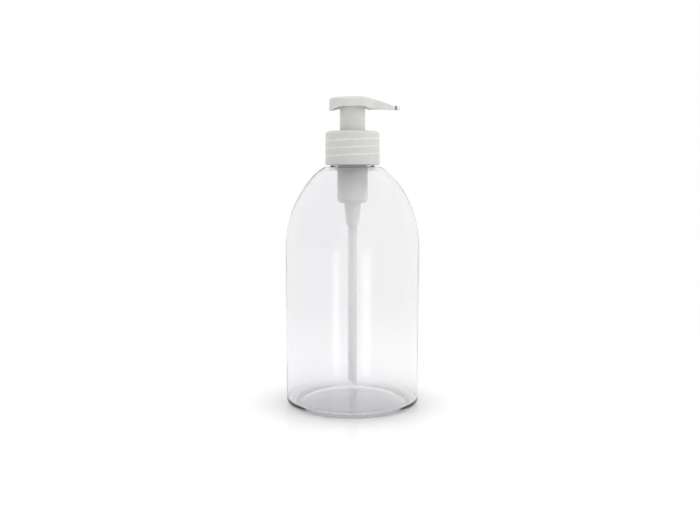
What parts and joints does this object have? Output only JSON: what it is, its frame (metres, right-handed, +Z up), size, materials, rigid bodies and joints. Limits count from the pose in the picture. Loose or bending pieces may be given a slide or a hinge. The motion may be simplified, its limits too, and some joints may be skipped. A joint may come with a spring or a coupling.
{
  "type": "pump oil bottle",
  "caption": "Clear round bottle with a domed shoulder and a screw-on lotion pump: translucent collar, press head with beak, spring, check valves and dip tube.",
  "frame": {"origin": "middle of the bottle's base, on the plane it stands on", "axes": "+Z up along the bottle's axis, +X the way the beak points, +Y to the back"},
  "size_m": [0.077, 0.077, 0.1768],
  "materials": {
    "clear_pet": "clear blown PET, glossy",
    "natural_pp": "natural translucent polypropylene, satin",
    "head_pp": "off-white polypropylene, satin",
    "tip_pp": "pale grey polypropylene, satin",
    "gasket_pe": "white soft polyethylene",
    "tube_pe": "natural polyethylene tube",
    "steel_wire": "drawn stainless wire",
    "valve_glass": "polished glass ball"
  },
  "bodies": {
    "bottle": {"bottle": "clear_pet"},
    "pump_body": {"pump_housing": "natural_pp", "lock_ring": "natural_pp", "neck_gasket": "gasket_pe", "dip_tube": "tube_pe", "ball_retainer": "natural_pp", "return_spring": "steel_wire"},
    "collar": {"screw_collar": "natural_pp"},
    "plunger": {"spring_cap": "natural_pp"},
    "head": {"pump_head": "head_pp", "nozzle_tip": "tip_pp", "hollow_stem": "natural_pp", "piston": "gasket_pe"},
    "inlet_valve": {"inlet_ball": "valve_glass"},
    "outlet_valve": {"outlet_ball": "valve_glass"}
  },
  "joints": [
    {"name": "closure_rise", "type": "slide", "parent": "bottle", "child": "pump_body", "axis": [0, 0, 1], "range_m": [0, 0.00634]},
    {"name": "collar_turn", "type": "hinge", "parent": "pump_body", "child": "collar", "pos_m": [0, 0, 0.15], "axis": [0, 0, 1], "range_deg": [0, 540]},
    {"name": "head_press", "type": "slide", "parent": "pump_body", "child": "plunger", "axis": [0, 0, -1], "range_m": [0, 0.011], "stiffness_N_per_m": 700, "springref_m": -0.012, "deforming": ["return_spring"]},
    {"name": "head_swivel", "type": "hinge", "parent": "plunger", "child": "head", "pos_m": [0, 0, 0.172], "axis": [0, 0, 1], "continuous": true},
    {"name": "inlet_ball_lift", "type": "slide", "parent": "pump_body", "child": "inlet_valve", "axis": [0, 0, 1], "range_m": [0, 0.0009]},
    {"name": "outlet_ball_lift", "type": "slide", "parent": "head", "child": "outlet_valve", "axis": [0, 0, 1], "range_m": [0, 0.001]}
  ],
  "couplings": [
    {"joint": "collar_turn", "follows": "closure_rise", "rad_per_m": 1484.2}
  ]
}
